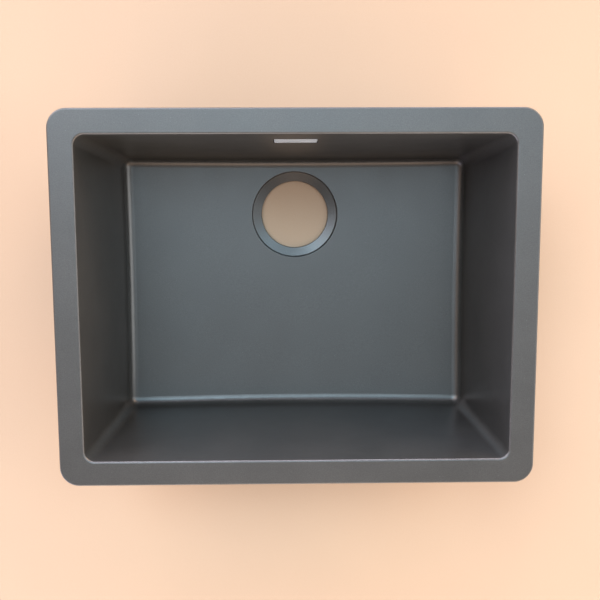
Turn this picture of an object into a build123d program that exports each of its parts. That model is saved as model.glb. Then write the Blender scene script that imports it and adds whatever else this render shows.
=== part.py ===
from build123d import *
from math import atan, cos, hypot, radians, sin, sqrt, tan
import os

# Undermount kitchen sink: one moulded stone-composite bowl with a wide flange, an open 90 mm
# waste hole, a slotted overflow with a pull-off metal cover, the outlet housing clamped behind
# it, and brass inserts under the flange for the undermount clips.
#
# All sizes are in millimetres. X runs left to right, Y from the front wall to the back wall
# (the side of the overflow and the waste), Z up. The origin is at the centre of the flat
# underside that the bowl rests on.

# Flange and bowl
flange_length = 550.0
flange_width = 430.0
flange_thickness = 9.0
flange_corner_radius = 22.0
flange_land = 29.0  # from the outer edge to the opening
flange_top_edge_radius = 2.0
flange_lower_edge_radius = 1.5
opening_corner_radius = 12.0
opening_edge_radius = 2.5
bowl_depth = 200.0  # flange top to the floor beside the waste
wall_draft = 5.4  # degrees, all four walls lean out towards the opening
wall_thickness = 9.0
wall_bow = 1.5  # how far a wall's inner face bows inwards, halfway along it at the underside
front_wall_bow = 2.8
floor_edge_radius = 11.5
floor_corner_extra = 1.0  # how much larger the upright corners are at the bottom than the floor's edge
floor_thickness = 12.0  # beside the waste
floor_fall = 6.5  # from the farthest floor corner down to the waste
underside_edge_radius = 14.0
flange_root_radius = 4.0

# Waste hole, for a 3 1/2 inch basket strainer
waste_to_opening_edge = 93.0  # waste centre to the opening's back edge
waste_hole_diameter = 90.0
waste_recess_diameter = 115.0
waste_recess_step = 2.8
waste_recess_slope = 3.2  # further drop from the step to the hole
waste_recess_root_radius = 2.2  # at the foot of the step
waste_edge_radius = 0.7  # round the recess and round the hole
waste_land_diameter = 120.0  # smooth ring below, for the strainer's seal
waste_land_depth = 0.6

# Overflow opening through the back wall, centred on the wall at this depth below the rim.
# Every depth below is measured from the wall's face, along its normal, into the wall.
overflow_below_rim = 47.5
rebate_depth = 6.5
rebate_ledge = 4.0  # width of the ledge that the frame's seal sits on
rebate_corner_radius = 3.0
pad_rise = 3.0  # what the raised pad behind the opening adds to the wall's thickness
pad_border = 11.0
pad_corner_radius = 6.0
pad_edge_radius = 1.0

# Pull-off cover and its spring clips
cover_length = 50.0
cover_height = 24.0
cover_corner_radius = 2.0
cover_sheet = 1.2
cover_fold_depth = 2.0  # from the cover's face to the end of its folded edge
cover_edge_radius = 0.4
cover_recess = 0.2  # how far the cover's face lies below the wall's
cover_gap = 1.0  # water gap all round the cover
clip_spacing = 37.0
clip_sheet = 0.6
clip_width = 4.4
clip_foot = 5.0
clip_bead = 0.5
clip_bead_length = 1.6
clip_tail = 0.8  # what the leg has past its bead
clip_clearance = 0.3

# Frame in the opening, its seal and its two screws
frame_front_depth = 3.1
frame_thickness = 2.4
frame_clearance = 0.25
frame_bar_height = 8.0
frame_boss_diameter = 9.6
frame_boss_length = 3.5
screw_spacing = 20.0
screw_diameter = 4.0
screw_head_diameter = 7.5
screw_length = 25.0
screw_drive_width = 1.2
screw_drive_depth = 1.0
screw_clearance = 0.25
thread_clearance = 0.05

# Housing behind the wall, its gasket and the two captive nuts
gasket_thickness = 2.0
gasket_inset = 1.0  # from the opening's edge to the gasket's
gasket_width = 7.0
housing_depth = 17.0
housing_wall = 2.2
housing_lip_thickness = 3.0
housing_lip_step = 4.0  # how far the lip stands out from the box behind it
housing_corner_radius = 4.0
housing_edge_radius = 1.5
nut_width = 7.0  # across the flats
nut_thickness = 3.2
nut_clearance = 0.15
screw_past_nut = 0.4
tower_diameter = 11.5
spigot_diameter = 17.0
spigot_bore = 12.0
spigot_collar_diameter = 20.5
spigot_collar_length = 3.0
spigot_neck = 14.0  # from the box down to the collar
spigot_length = 18.0  # what a hose slides over, below the collar

# Brass inserts under the flange, for M6 clip screws
insert_diameter = 9.0
insert_bore = 5.0
insert_length = 12.0
insert_groove_depth = 0.5
insert_groove_width = 1.4
insert_groove_count = 3
insert_bond_line = 0.05
insert_edge_distance = 10.5  # insert axis to the flange's outer edge
insert_boss_diameter = 16.0
insert_boss_drop = 7.0  # how far a boss hangs below the flange
insert_boss_chamfer = 1.0
long_side_insert_spacing = 300.0
short_side_insert_spacing = 200.0

# Worked out from the sizes above
rim_height = bowl_depth + floor_thickness
slope = tan(radians(wall_draft))
bottom_corner_radius = floor_edge_radius + floor_corner_extra
half_opening_length = flange_length / 2 - flange_land
half_opening_width = flange_width / 2 - flange_land
waste_y = half_opening_width - waste_to_opening_edge
floor_reach = hypot(half_opening_length, half_opening_width + waste_y)
dish_radius = (floor_reach**2 + floor_fall**2) / (2 * floor_fall)
through = 2 * rim_height  # longer than anything it cuts

rebate_length = cover_length + 2 * cover_gap
rebate_height = cover_height + 2 * cover_gap
slot_length = rebate_length - 2 * rebate_ledge
slot_height = rebate_height - 2 * rebate_ledge
slot_corner_radius = rebate_corner_radius / 2
pad_face = wall_thickness + pad_rise
frame_back = frame_front_depth + frame_thickness
screw_tip = frame_front_depth + screw_length
housing_front = pad_face + gasket_thickness
housing_back = housing_front + housing_depth
gasket_hole_length = slot_length + 2 * gasket_inset
gasket_hole_height = slot_height + 2 * gasket_inset
lip_length = gasket_hole_length + 2 * gasket_width
lip_height = gasket_hole_height + 2 * gasket_width
box_length = lip_length - 2 * housing_lip_step
box_height = lip_height - 2 * housing_lip_step
insert_x = flange_length / 2 - insert_edge_distance
insert_y = flange_width / 2 - insert_edge_distance
boss_bottom = rim_height - flange_thickness - insert_boss_drop

# The back wall's own axes at the overflow: X along the wall, Y up it, Z out of its face into
# the bowl. The wall's bow adds a little to its lean there.
wall_lean = slope + wall_bow / rim_height
wall_angle = atan(wall_lean)
overflow_wall = Plane(
    origin=(0, half_opening_width - overflow_below_rim * wall_lean, rim_height - overflow_below_rim),
    x_dir=(1, 0, 0),
    z_dir=(0, -cos(wall_angle), sin(wall_angle)),
)


def rounded_outline(half_length, half_width, corner_radius, bow, front_bow, z):
    """A rounded rectangle at height z whose sides bow inwards, by bow or front_bow at their middles."""
    corners = [
        (-half_length, -half_width),
        (half_length, -half_width),
        (half_length, half_width),
        (-half_length, half_width),
    ]
    middles = [
        (0, front_bow - half_width),
        (half_length - bow, 0),
        (0, half_width - bow),
        (bow - half_length, 0),
    ]
    edges = []
    for i, middle in enumerate(middles):
        start, end = corners[i], corners[(i + 1) % 4]
        edges.append(ThreePointArc(start, middle, end) if bow else Line(start, end))
    face = make_face(Curve() + edges)
    return Pos(0, 0, z) * fillet(face.vertices(), corner_radius)


def tapered_block(grow, bow, front_bow):
    """The bowl's tapered form from rim to underside, grown outwards by grow."""
    sections = []
    for z in (rim_height, 0.0):
        share = (rim_height - z) / rim_height
        lost = (rim_height - z) * slope
        corner_radius = opening_corner_radius + (bottom_corner_radius - opening_corner_radius) * share
        sections.append(
            rounded_outline(
                half_opening_length - lost + grow,
                half_opening_width - lost + grow,
                corner_radius + grow,
                bow * share,
                front_bow * share,
                z,
            )
        )
    return loft(sections, ruled=True)


def floor_height(distance):
    """Height of the floor, a very shallow dish, at this distance from the waste's axis."""
    return floor_thickness + dish_radius - sqrt(dish_radius**2 - distance**2)


def space_above_floor():
    """Everything above the floor, whose lowest point is at the waste."""
    start = (0, floor_thickness)
    edge = (floor_reach, floor_height(floor_reach))
    arc = ThreePointArc(start, (floor_reach / 2, floor_height(floor_reach / 2)), edge)
    rest = Polyline(edge, (floor_reach, through), (0, through), start)
    profile = Plane.XZ * make_face(Curve() + [arc, rest])
    return Pos(0, waste_y, 0) * revolve(profile, Axis.Z)


def bowl_cavity():
    """The inside of the bowl: drafted walls, sloping floor and a fillet between them."""
    cavity = tapered_block(0.0, wall_bow, front_wall_bow) & space_above_floor()
    floor = cavity.faces().sort_by(Axis.Z)[0]
    return fillet(floor.edges(), floor_edge_radius)


def flange():
    outline = RectangleRounded(flange_length, flange_width, flange_corner_radius)
    plate = Pos(0, 0, rim_height - flange_thickness) * extrude(outline, flange_thickness)
    plate = fillet(plate.faces().sort_by(Axis.Z)[0].edges(), flange_lower_edge_radius)
    return fillet(plate.faces().sort_by(Axis.Z)[-1].edges(), flange_top_edge_radius)


def insert_places():
    """Insert axes: two under each side of the flange, with the turn that faces the bowl."""
    places = []
    for side in (-1, 1):
        for x in (-long_side_insert_spacing / 2, long_side_insert_spacing / 2):
            places.append((x, side * insert_y, 90 * side))
        for y in (-short_side_insert_spacing / 2, short_side_insert_spacing / 2):
            places.append((side * insert_x, y, 90 - 90 * side))
    return places


def insert_boss():
    """A round boss that runs back into the bowl's wall along -X, hanging below the flange."""
    web_length = flange_land - insert_edge_distance - wall_thickness / 2
    outline = Circle(insert_boss_diameter / 2)
    outline += Pos(-web_length / 2, 0, 0) * Rectangle(web_length, insert_boss_diameter)
    boss = extrude(outline, insert_boss_drop + flange_thickness / 2)
    return chamfer(boss.faces().sort_by(Axis.Z)[0].edges(), insert_boss_chamfer)


def waste_cutter():
    """The waste hole with its conical recess above and its smooth ring below."""
    hole = waste_hole_diameter / 2
    recess = waste_recess_diameter / 2
    step = floor_thickness - waste_recess_step
    flare = (recess + waste_edge_radius, floor_height(recess + waste_edge_radius))
    below_flare = (recess, flare[1] - waste_edge_radius)
    rounding = RadiusArc(below_flare, flare, waste_edge_radius)
    lip = (hole, step - waste_recess_slope)
    inside = Polyline((hole, -through), lip, (recess, step), below_flare)
    rest = Polyline(flare, (flare[0], through), (0, through), (0, -through), (hole, -through))
    profile = make_face(Curve() + [inside, rounding, rest])
    lip_corner = profile.vertices().sort_by_distance(lip)[0]
    profile = fillet(lip_corner, waste_edge_radius)
    root_corner = profile.vertices().sort_by_distance((recess, step))[0]
    profile = fillet(root_corner, waste_recess_root_radius)
    cutter = revolve(Plane.XZ * profile, Axis.Z)
    land = Pos(0, 0, waste_land_depth - through) * extrude(Circle(waste_land_diameter / 2), through)
    return Pos(0, waste_y, 0) * (cutter + land)


def prism(length, height, corner_radius, front, back):
    """A rounded rectangle on the overflow's axes, between two depths into the wall."""
    outline = Pos(0, 0, -back) * RectangleRounded(length, height, corner_radius)
    return extrude(outline, back - front)


def rod(diameter, front, back):
    """A round bar on the overflow's axes, between two depths into the wall."""
    return Pos(0, 0, -back) * extrude(Circle(diameter / 2), back - front)


def at_screws(shape):
    """A copy of shape at each of the two screws."""
    return [Pos(side * screw_spacing / 2, 0, 0) * shape for side in (-1, 1)]


def sink_bowl():
    body = flange() + tapered_block(wall_thickness / cos(radians(wall_draft)), 0.0, 0.0)
    body -= bowl_cavity()
    top = body.faces().sort_by(Axis.Z)[-1]
    body = fillet(top.inner_wires()[0].edges(), opening_edge_radius)
    underside = body.faces().sort_by(Axis.Z)[0]
    body = fillet(underside.edges(), underside_edge_radius)
    level_faces = body.faces().filter_by(Axis.Z)
    flange_underside = level_faces.sort_by_distance((insert_x, insert_y, rim_height - flange_thickness))[0]
    body = fillet(flange_underside.inner_wires()[0].edges(), flange_root_radius)

    body += [Pos(x, y, boss_bottom) * Rot(0, 0, turn) * insert_boss() for x, y, turn in insert_places()]
    pad = prism(
        rebate_length + 2 * pad_border,
        rebate_height + 2 * pad_border,
        pad_corner_radius,
        wall_thickness / 2,
        pad_face,
    )
    pad = fillet(pad.faces().sort_by(Axis.Z)[0].edges(), pad_edge_radius)
    body += overflow_wall * pad

    body -= waste_cutter()
    body -= overflow_wall * prism(rebate_length, rebate_height, rebate_corner_radius, -pad_face, rebate_depth)
    body -= overflow_wall * prism(slot_length, slot_height, slot_corner_radius, 0, through / 4)
    pocket = Cylinder(
        insert_diameter / 2 + insert_bond_line,
        insert_length + insert_bond_line,
        align=(Align.CENTER, Align.CENTER, Align.MIN),
    )
    return body - [Pos(x, y, boss_bottom) * pocket for x, y, _ in insert_places()]


def overflow_cover():
    """Folded sheet-metal cover: a flat face with a short fold all round it."""
    shell = prism(cover_length, cover_height, cover_corner_radius, cover_recess, cover_recess + cover_fold_depth)
    shell = fillet(shell.faces().sort_by(Axis.Z)[-1].edges(), cover_edge_radius)
    inside = prism(
        cover_length - 2 * cover_sheet,
        cover_height - 2 * cover_sheet,
        cover_corner_radius - cover_sheet,
        cover_recess + cover_sheet,
        through,
    )
    return overflow_wall * (shell - inside)


def cover_clips():
    """Two spring-steel clips on the cover's back; each leg's bead snaps in behind the frame."""
    foot_front = cover_recess + cover_sheet
    bead_front = frame_back + clip_clearance
    leg_end = bead_front + clip_bead_length + clip_tail
    clips = []
    for side in (-1, 1):
        outline = Polyline(
            (0, -foot_front),
            (0, -leg_end),
            (clip_sheet, -leg_end),
            (clip_sheet, -bead_front - clip_bead_length),
            (clip_sheet + clip_bead, -bead_front - clip_bead_length / 2),
            (clip_sheet, -bead_front),
            (clip_sheet, -foot_front),
            close=True,
        )
        leg = extrude(Plane.XZ * make_face(outline), clip_width / 2, both=True)
        foot = Pos(-clip_foot / 2, 0, -foot_front - clip_sheet / 2) * Box(clip_foot, clip_width, clip_sheet)
        clip = Pos(clip_spacing / 2, 0, 0) * (leg + foot)
        clips.append(overflow_wall * (clip if side > 0 else clip.rotate(Axis.Z, 180)))
    return clips


def overflow_frame():
    """Moulded frame in the opening, with a bar that carries the screws and takes the clips."""
    ring = prism(
        rebate_length - 2 * frame_clearance,
        rebate_height - 2 * frame_clearance,
        rebate_corner_radius - frame_clearance,
        frame_front_depth,
        frame_back,
    )
    ring -= prism(slot_length, slot_height, slot_corner_radius, 0, through)
    bar = Pos(0, 0, -frame_front_depth - frame_thickness / 2)
    ring += bar * Box(slot_length + rebate_ledge, frame_bar_height, frame_thickness)
    for boss in at_screws(rod(frame_boss_diameter, frame_front_depth, frame_back + frame_boss_length)):
        ring += boss
    for cutter in at_screws(screw_blank(screw_clearance)):
        ring -= cutter
    socket_length = clip_sheet + clip_bead + 2 * clip_clearance
    socket = Box(socket_length, clip_width + 2 * clip_clearance, through)
    socket_x = clip_spacing / 2 - clip_clearance + socket_length / 2
    for side in (-1, 1):
        ring -= Pos(side * socket_x, 0, 0) * socket
    return overflow_wall * ring


def screw_blank(clearance):
    """A countersunk screw's outline, grown by clearance, or the hole that takes it."""
    shank = screw_diameter / 2 + clearance
    head = screw_head_diameter / 2 + clearance
    profile = Polyline(
        (0, -frame_front_depth),
        (head, -frame_front_depth),
        (shank, -frame_front_depth - (head - shank)),
        (shank, -screw_tip),
        (0, -screw_tip),
        close=True,
    )
    return revolve(Plane.XZ * make_face(profile), Axis.Z)


def overflow_screws():
    drive = Box(screw_drive_width, screw_head_diameter, 2 * screw_drive_depth)
    screw = screw_blank(0.0) - Pos(0, 0, -frame_front_depth) * drive
    tip = screw.faces().sort_by(Axis.Z)[0]
    screw = chamfer(tip.edges(), screw_diameter / 8)
    return [overflow_wall * copy for copy in at_screws(screw)]


def frame_seal():
    """Flat rubber ring between the frame and the ledge in the opening."""
    ring = prism(
        rebate_length - 2 * frame_clearance,
        rebate_height - 2 * frame_clearance,
        rebate_corner_radius - frame_clearance,
        frame_back,
        rebate_depth,
    )
    return overflow_wall * (ring - prism(slot_length, slot_height, slot_corner_radius, 0, through))


def housing_gasket():
    gasket = prism(lip_length, lip_height, housing_corner_radius, pad_face, housing_front)
    hole = prism(gasket_hole_length, gasket_hole_height, slot_corner_radius, 0, through)
    return overflow_wall * (gasket - hole)


def overflow_housing():
    """Moulded box behind the wall: clamping lip, screw towers and an outlet spigot below."""
    lip = prism(lip_length, lip_height, housing_corner_radius, housing_front, housing_front + housing_lip_thickness)
    box = prism(box_length, box_height, housing_corner_radius, housing_front, housing_back)
    box = fillet(box.faces().sort_by(Axis.Z)[0].edges(), housing_edge_radius)
    shell = lip + box
    spigot_axis = (housing_front + housing_back) / 2
    spigot_top = box_height / 2 - housing_wall / 2
    collar_top = box_height / 2 + spigot_neck
    spigot_end = collar_top + spigot_collar_length + spigot_length
    downwards = Pos(0, 0, -spigot_axis) * Rot(90, 0, 0)
    shell += downwards * tube_piece(spigot_diameter, spigot_top, spigot_end)
    shell += downwards * tube_piece(spigot_collar_diameter, collar_top, collar_top + spigot_collar_length)
    shell -= prism(
        box_length - 2 * housing_wall,
        box_height - 2 * housing_wall,
        housing_corner_radius - housing_wall,
        0,
        housing_back - housing_wall,
    )
    for tower in at_screws(rod(tower_diameter, housing_front, housing_back - housing_wall / 2)):
        shell += tower
    for hole in at_screws(rod(screw_diameter + 2 * screw_clearance, 0, through)):
        shell -= hole
    for pocket in at_screws(nut_blank(nut_clearance, through)):
        shell -= pocket
    shell -= downwards * tube_piece(spigot_bore, 0, through)
    return overflow_wall * shell


def tube_piece(diameter, start, end):
    """A round bar along +Z between two distances from the origin."""
    return Pos(0, 0, start) * extrude(Circle(diameter / 2), end - start)


def nut_blank(clearance, depth):
    """A hexagon from the nut's seat in the housing, so deep, and grown by clearance."""
    seat = screw_tip - screw_past_nut - nut_thickness
    hexagon = RegularPolygon(nut_width / 2 + clearance, 6, major_radius=False)
    return Pos(0, 0, -seat - depth) * extrude(hexagon, depth)


def captive_nuts():
    nut = nut_blank(0.0, nut_thickness)
    nut -= rod(screw_diameter + 2 * thread_clearance, 0, through)
    return [overflow_wall * copy for copy in at_screws(nut)]


def clip_inserts():
    """Brass inserts with grooves round them, moulded into the flange's bosses."""
    upright = (Align.CENTER, Align.CENTER, Align.MIN)
    insert = Cylinder(insert_diameter / 2, insert_length, align=upright)
    groove = Cylinder(insert_diameter, insert_groove_width)
    groove -= Cylinder(insert_diameter / 2 - insert_groove_depth, insert_groove_width)
    pitch = insert_length / (insert_groove_count + 1)
    for i in range(insert_groove_count):
        insert -= Pos(0, 0, pitch * (i + 1)) * groove
    insert -= Cylinder(insert_bore / 2, insert_length, align=upright)
    return [Pos(x, y, boss_bottom) * insert for x, y, _ in insert_places()]


nodes = {
    "sink_bowl": sink_bowl(),
    "overflow_cover": overflow_cover(),
    "cover_clips": cover_clips(),
    "overflow_frame": overflow_frame(),
    "frame_seal": frame_seal(),
    "overflow_screws": overflow_screws(),
    "housing_gasket": housing_gasket(),
    "overflow_housing": overflow_housing(),
    "captive_nuts": captive_nuts(),
    "clip_inserts": clip_inserts(),
}

os.makedirs("parts", exist_ok=True)
for name, shape in nodes.items():
    if isinstance(shape, list):
        shape = Compound(children=shape)
    export_step(shape, f"parts/{name}.step")
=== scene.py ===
import bpy
from math import cos, radians, sin
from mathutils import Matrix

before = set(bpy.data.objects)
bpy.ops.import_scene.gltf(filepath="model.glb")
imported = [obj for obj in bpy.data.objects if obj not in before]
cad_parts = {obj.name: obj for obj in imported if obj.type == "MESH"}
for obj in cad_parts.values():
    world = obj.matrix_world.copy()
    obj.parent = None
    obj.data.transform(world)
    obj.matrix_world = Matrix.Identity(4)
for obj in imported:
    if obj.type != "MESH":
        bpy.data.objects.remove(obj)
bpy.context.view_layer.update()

# The camera looks down into the bowl from above its middle, tipped towards the front wall, with
# the back wall at the top of the picture.
CAMERA_PLACE = (-0.0114, 0.1189, 1.1478)
CAMERA_TURN = (-7.16, -0.94, -0.21)  # degrees about X, Y and Z; without it the view is straight down
CAMERA_LENS = 50.03  # mm
PICTURE_WIDTH = 36.0  # mm, on the camera's sensor

# Tints of the soft lights, linear colours of about the same brightness
COOL = (0.7, 1.0, 1.2)
DAY = (0.9, 1.0, 1.15)
NEUTRAL = (1.0, 1.0, 1.0)
LILAC = (1.03, 0.96, 1.14)
WARM = (1.35, 0.95, 0.7)

# The soft lights, far off all round: a bearing in degrees from the back (+Y) towards the right (+X),
# degrees down from overhead, a tint and a brightness.
CEILING_LIGHTS = [
    (0, 12, COOL, 6.0),
    (45, 32, COOL, 9.0),
    (300, 32, DAY, 10.0),
    (335, 32, COOL, 16.0),
]
ROOM_LIGHTS = [
    (0, 0, NEUTRAL, 2.0),
    (90, 54, NEUTRAL, 7.0),
    (180, 54, WARM, 3.7),
    (270, 54, WARM, 1.5),
    (315, 54, WARM, 3.0),
    (0, 80, LILAC, 15.0),
    (45, 80, WARM, 14.0),
    (135, 80, WARM, 9.0),
    (180, 80, NEUTRAL, 6.0),
    (225, 80, LILAC, 11.0),
    (315, 80, LILAC, 12.0),
]
CEILING_SPREAD = 16  # degrees from a light's middle to where it has faded out
ROOM_SPREAD = 31

# The pale haze behind everything, up to a few degrees above the horizon
HAZE_COLOUR = (1.0, 0.93, 0.82)
HAZE_FULL = 5  # degrees above the horizon up to which it is even
HAZE_TOP = 10  # degrees above the horizon at which it has faded out

# Linear colours of the bowl's composite, its quartz specks and the dust on it
SATIN_DARK = (0.0115, 0.0120, 0.0115)
SATIN_LIGHT = (0.0140, 0.0145, 0.0138)
CAST_DARK = (0.015, 0.016, 0.016)
CAST_LIGHT = (0.021, 0.021, 0.021)
GRAIN_DARK = (0.55, 0.55, 0.55)  # what the grain multiplies the colour by
GRAIN_LIGHT = (1.45, 1.45, 1.45)
QUARTZ = (0.055, 0.058, 0.058)
DUST = (0.22, 0.22, 0.21)

SATIN_ROUGHNESS = (0.335, 0.375)  # between the smoothest and the dullest smudge
GRAIN_ROUGHNESS = 0.02  # what the grain adds or takes away
CAST_ROUGHNESS = 0.16  # what the cast outside adds

# Linear colours of the other pieces and of the floor
# The cover's steel colour is partly its own and partly a blue tint that is painted reflection of the cool
# ceiling light.
COVER_STEEL_PAINTED_COOL_REFLECTION = (0.63, 0.72, 0.79)
CLIP_STEEL = (0.52, 0.52, 0.53)
SCREW_STEEL = (0.58, 0.58, 0.57)
INSERT_BRASS = (0.72, 0.53, 0.25)
FRAME_BLACK = (0.022, 0.022, 0.023)
HOUSING_BLACK = (0.030, 0.030, 0.032)
RUBBER_BLACK = (0.020, 0.020, 0.021)
PAPER_DARK = (0.214, 0.150, 0.099)
PAPER_LIGHT = (0.226, 0.159, 0.105)

METAL_SHADE = 0.88  # the darkest streak or smudge, as a part of the metal's colour
METAL_DRIFT = 0.06  # what a streak adds to the roughness or takes away
MOULDED_SHADE = 0.75  # the darkest drift, as a part of the moulding's colour
MOULDED_DRIFT = 0.05  # what its texture adds to the roughness or takes away

PAPER_ROUGHNESS = (0.75, 0.85)
FLOOR_SIZE = 60.0  # metres, so that its edge is far off in low views too

# Most of a noise's values lie between these two, so it is spread from them to its full range.
NOISE_LOW = 0.3
NOISE_HIGH = 0.7
SOFT_LOW = 0.35  # the same for large soft clouds and drifts
SOFT_HIGH = 0.65

SPECK_CORE = 0.6  # how far from its middle a speck is solid, as a part of its radius

# The bowl's cast outside is the flange's lower face and all that faces out or down below it.
FLANGE_UNDERSIDE = 0.203  # height of the flange's lower face
FLANGE_MARGIN = 0.0005  # so that the lower face itself counts
FACING_NONE = 0.15  # cosine of the angle between the surface's normal and out or down: no cast look
FACING_FULL = 0.45  # and a full one

# Places of a Mix node's colour sockets
MIX_FACTOR = 0
MIX_FIRST = 6
MIX_SECOND = 7
MIX_RESULT = 2


def put(tree, socket, value):
    """Links a socket to another node's output, or sets it to a plain value or colour."""
    if isinstance(value, bpy.types.NodeSocket):
        tree.links.new(value, socket)
    elif socket.type == "RGBA":
        socket.default_value = (*value, 1.0)
    else:
        socket.default_value = value


def node(tree, kind, sockets=(), **settings):
    """Adds a shader node; sockets gives its inputs, each a value or another node's output."""
    made = tree.nodes.new("ShaderNode" + kind)
    for name, value in settings.items():
        setattr(made, name, value)
    for name, value in dict(sockets).items():
        put(tree, made.inputs[name], value)
    return made


def tone(tree, value, dark, light, low=NOISE_LOW, high=NOISE_HIGH):
    """A colour that goes from dark to light as a value goes from low to high."""
    made = node(tree, "ValToRGB", {"Fac": value})
    stops = ((low, dark), (high, light))
    for element, (place, colour) in zip(made.color_ramp.elements, stops):
        element.position = place
        element.color = (*colour, 1.0)
    return made.outputs["Color"]


def noise(tree, coords, scale, detail=2.0):
    """A noise from 0 to 1; scale is about how many of its waves lie in a metre."""
    sockets = {"Vector": coords, "Scale": scale, "Detail": detail}
    return node(tree, "TexNoise", sockets).outputs["Fac"]


def spread(tree, value, low, high, from_low=NOISE_LOW, from_high=NOISE_HIGH):
    """A number that goes from low to high as a value goes from from_low to from_high."""
    sockets = {
        "Value": value,
        "From Min": from_low,
        "From Max": from_high,
        "To Min": low,
        "To Max": high,
    }
    return node(tree, "MapRange", sockets).outputs["Result"]


def arithmetic(tree, operation, first, second):
    return node(tree, "Math", {0: first, 1: second}, operation=operation).outputs[0]


def vector(tree, operation, *parts):
    """The output of a vector operation on one, two or three vectors."""
    return node(tree, "VectorMath", dict(enumerate(parts)), operation=operation).outputs[0]


def along(tree, first, second):
    """The dot product of two vectors."""
    made = node(tree, "VectorMath", {0: first, 1: second}, operation="DOT_PRODUCT")
    return made.outputs["Value"]


def upwards(tree, direction):
    """A vector's Z."""
    return node(tree, "SeparateXYZ", {"Vector": direction}).outputs["Z"]


def blend(tree, factor, first, second, how="MIX"):
    """Two colours put together in the way that how names, as far as the factor says."""
    made = node(tree, "Mix", data_type="RGBA", blend_type=how)
    put(tree, made.inputs[MIX_FACTOR], factor)
    put(tree, made.inputs[MIX_FIRST], first)
    put(tree, made.inputs[MIX_SECOND], second)
    return made.outputs[MIX_RESULT]


def bump(tree, height, depth, below=None):
    """A normal bent by a height, whose relief is depth metres, over the normal below if one is given."""
    sockets = {"Height": height, "Distance": depth, "Strength": 1.0}
    if below is not None:
        sockets["Normal"] = below
    return node(tree, "Bump", sockets).outputs["Normal"]


def new_material(name):
    """An empty material, its tree, its Principled shader and its object coordinates."""
    made = bpy.data.materials.new(name)
    made.use_nodes = True
    tree = made.node_tree
    tree.nodes.clear()
    shader = node(tree, "BsdfPrincipled")
    output = node(tree, "OutputMaterial")
    tree.links.new(shader.outputs["BSDF"], output.inputs["Surface"])
    coords = node(tree, "TexCoord").outputs["Object"]
    return made, tree, shader, coords


def wire(tree, shader, colour, roughness, normal):
    """Gives the shader its colour, roughness and normal."""
    put(tree, shader.inputs["Base Color"], colour)
    put(tree, shader.inputs["Roughness"], roughness)
    put(tree, shader.inputs["Normal"], normal)


def cast_outside(tree, coords):
    """1 on the bowl's cast outside, below the flange and facing out or down, and 0 elsewhere."""
    normal = node(tree, "NewGeometry").outputs["Normal"]
    level = vector(tree, "MULTIPLY", coords, (1.0, 1.0, 0.0))
    facing_out = along(tree, normal, vector(tree, "NORMALIZE", level))
    facing_down = arithmetic(tree, "MULTIPLY", upwards(tree, normal), -1.0)
    turned = arithmetic(tree, "MAXIMUM", facing_out, facing_down)
    faces_away = spread(tree, turned, 0.0, 1.0, FACING_NONE, FACING_FULL)
    is_below = arithmetic(tree, "LESS_THAN", upwards(tree, coords), FLANGE_UNDERSIDE + FLANGE_MARGIN)
    return arithmetic(tree, "MULTIPLY", faces_away, is_below)


def specks(tree, coords, scale, size, share):
    """Small round specks: size is their radius as a part of a cell, share how many cells have one."""
    cells = node(tree, "TexVoronoi", {"Vector": coords, "Scale": scale})
    chance = node(tree, "SeparateColor", {"Color": cells.outputs["Color"]}).outputs["Red"]
    round_spot = spread(tree, cells.outputs["Distance"], 1.0, 0.0, SPECK_CORE * size, size)
    return arithmetic(tree, "MULTIPLY", round_spot, arithmetic(tree, "LESS_THAN", chance, share))


def composite():
    """Dark satin stone composite with fine quartz grain; its cast outside is duller and pitted."""
    made, tree, shader, coords = new_material("composite")
    outside = cast_outside(tree, coords)
    clouds = noise(tree, coords, scale=15.0, detail=4.0)
    grain = noise(tree, coords, scale=900.0)
    peel = noise(tree, coords, scale=210.0)
    pits = noise(tree, coords, scale=420.0, detail=4.0)
    smudges = noise(tree, coords, scale=28.0, detail=5.0)
    quartz = specks(tree, coords, scale=260.0, size=0.10, share=0.15)
    dust = specks(tree, coords, scale=42.0, size=0.016, share=0.08)

    satin = tone(tree, clouds, SATIN_DARK, SATIN_LIGHT, SOFT_LOW, SOFT_HIGH)
    cast = tone(tree, clouds, CAST_DARK, CAST_LIGHT, SOFT_LOW, SOFT_HIGH)
    speckle = tone(tree, grain, GRAIN_DARK, GRAIN_LIGHT)
    grained = blend(tree, 1.0, blend(tree, outside, satin, cast), speckle, "MULTIPLY")
    colour = blend(tree, dust, blend(tree, quartz, grained, QUARTZ), DUST)

    sheen = spread(tree, smudges, *SATIN_ROUGHNESS)
    grained_sheen = arithmetic(tree, "ADD", sheen, spread(tree, grain, -GRAIN_ROUGHNESS, GRAIN_ROUGHNESS))
    duller = arithmetic(tree, "MULTIPLY", outside, CAST_ROUGHNESS)
    roughness = arithmetic(tree, "ADD", grained_sheen, duller)

    skin = bump(tree, grain, depth=0.00002, below=bump(tree, peel, depth=0.00004))
    pitted = arithmetic(tree, "MULTIPLY", pits, outside)
    wire(tree, shader, colour, roughness, bump(tree, pitted, depth=0.00025, below=skin))
    return made


def brushed_metal(name, colour, roughness, brush):
    """Metal with streaks, stretched by the brush vector: a large number there is across them."""
    made, tree, shader, coords = new_material(name)
    shader.inputs["Metallic"].default_value = 1.0
    streaks = noise(tree, vector(tree, "MULTIPLY", coords, brush), scale=1.0, detail=5.0)
    smudges = noise(tree, coords, scale=70.0)
    darker = tuple(METAL_SHADE * part for part in colour)
    streaked = tone(tree, streaks, darker, colour)
    smudged = tone(tree, smudges, darker, colour)
    wire(
        tree,
        shader,
        blend(tree, 0.5, streaked, smudged),
        spread(tree, streaks, roughness - METAL_DRIFT, roughness + METAL_DRIFT),
        bump(tree, streaks, depth=0.00001),
    )
    return made


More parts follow.
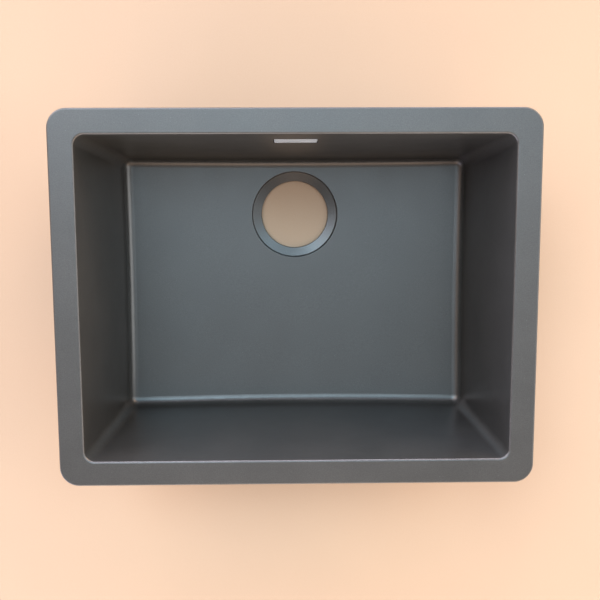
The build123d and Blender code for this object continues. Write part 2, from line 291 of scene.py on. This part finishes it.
def moulded(name, colour, roughness, texture_scale):
    """Moulded plastic or rubber with a fine even texture and slight colour drift."""
    made, tree, shader, coords = new_material(name)
    texture = noise(tree, coords, texture_scale, detail=3.0)
    drift = noise(tree, coords, scale=45.0, detail=3.0)
    darker = tuple(MOULDED_SHADE * part for part in colour)
    wire(
        tree,
        shader,
        tone(tree, drift, darker, colour, SOFT_LOW, SOFT_HIGH),
        spread(tree, texture, roughness - MOULDED_DRIFT, roughness + MOULDED_DRIFT),
        bump(tree, texture, depth=0.00004),
    )
    return made


def dress_sink():
    """Gives each CAD node its material."""
    clip_steel = brushed_metal("spring_steel", CLIP_STEEL, roughness=0.28, brush=(900.0, 900.0, 60.0))
    screw_steel = brushed_metal("screw_steel", SCREW_STEEL, roughness=0.30, brush=(1500.0, 200.0, 1500.0))
    rubber = moulded("rubber", RUBBER_BLACK, roughness=0.70, texture_scale=900.0)
    dressed = {
        "sink_bowl": composite(),
        # The cover's blue tint is painted reflection of cool light on top of the steel's own colour.
        "overflow_cover": brushed_metal(
            "satin_steel_painted_cool_reflection", COVER_STEEL_PAINTED_COOL_REFLECTION, roughness=0.50, brush=(40.0, 2500.0, 2500.0)
        ),
        "cover_clips": clip_steel,
        "overflow_frame": moulded("frame_plastic", FRAME_BLACK, roughness=0.45, texture_scale=1400.0),
        "frame_seal": rubber,
        "overflow_screws": screw_steel,
        "housing_gasket": rubber,
        "overflow_housing": moulded(
            "housing_plastic", HOUSING_BLACK, roughness=0.50, texture_scale=1100.0
        ),
        "captive_nuts": screw_steel,
        "clip_inserts": brushed_metal("brass", INSERT_BRASS, roughness=0.32, brush=(120.0, 120.0, 2600.0)),
    }
    for name, material in dressed.items():
        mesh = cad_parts[name].data
        mesh.materials.clear()
        mesh.materials.append(material)


def pale_floor():
    """The plain floor that the bowl stands on, a warm pale paper."""
    bpy.ops.mesh.primitive_plane_add(size=FLOOR_SIZE)
    floor = bpy.context.object
    floor.name = "floor"
    made, tree, shader, coords = new_material("floor")
    paper = noise(tree, coords, scale=3.0, detail=3.0)
    fibre = noise(tree, coords, scale=500.0)
    colour = tone(tree, paper, PAPER_DARK, PAPER_LIGHT)
    wire(tree, shader, colour, spread(tree, fibre, *PAPER_ROUGHNESS), bump(tree, fibre, depth=0.00003))
    floor.data.materials.append(made)


def direction_to(bearing, tilt):
    """The direction towards a light, from its bearing and its tilt down from overhead."""
    level = sin(radians(tilt))
    return (level * sin(radians(bearing)), level * cos(radians(bearing)), cos(radians(tilt)))


def studio():
    """Plain soft light from all round, as broad glows that fade into each other, over pale haze."""
    world = bpy.data.worlds.new("surround")
    world.use_nodes = True
    tree = world.node_tree
    tree.nodes.clear()
    direction = node(tree, "TexCoord").outputs["Generated"]
    haze = spread(tree, upwards(tree, direction), 1.0, 0.0, sin(radians(HAZE_FULL)), sin(radians(HAZE_TOP)))
    total = vector(tree, "MULTIPLY", haze, HAZE_COLOUR)
    for lights, reach in ((CEILING_LIGHTS, CEILING_SPREAD), (ROOM_LIGHTS, ROOM_SPREAD)):
        for bearing, tilt, tint, brightness in lights:
            near = along(tree, direction, direction_to(bearing, tilt))
            fade = {"Value": near, "From Min": cos(radians(reach))}
            glow = node(tree, "MapRange", fade, interpolation_type="SMOOTHSTEP").outputs["Result"]
            colour = tuple(brightness * part for part in tint)
            total = vector(tree, "MULTIPLY_ADD", glow, colour, total)
    background = node(tree, "Background", {"Color": total})
    output = node(tree, "OutputWorld")
    tree.links.new(background.outputs["Background"], output.inputs["Surface"])
    bpy.context.scene.world = world


def camera():
    data = bpy.data.cameras.new("camera")
    data.sensor_width = PICTURE_WIDTH
    data.lens = CAMERA_LENS
    made = bpy.data.objects.new("camera", data)
    made.location = CAMERA_PLACE
    made.rotation_euler = [radians(angle) for angle in CAMERA_TURN]
    bpy.context.scene.collection.objects.link(made)
    bpy.context.scene.camera = made


camera()
studio()
pale_floor()
dress_sink()
bpy.context.scene.view_settings.view_transform = "Standard"
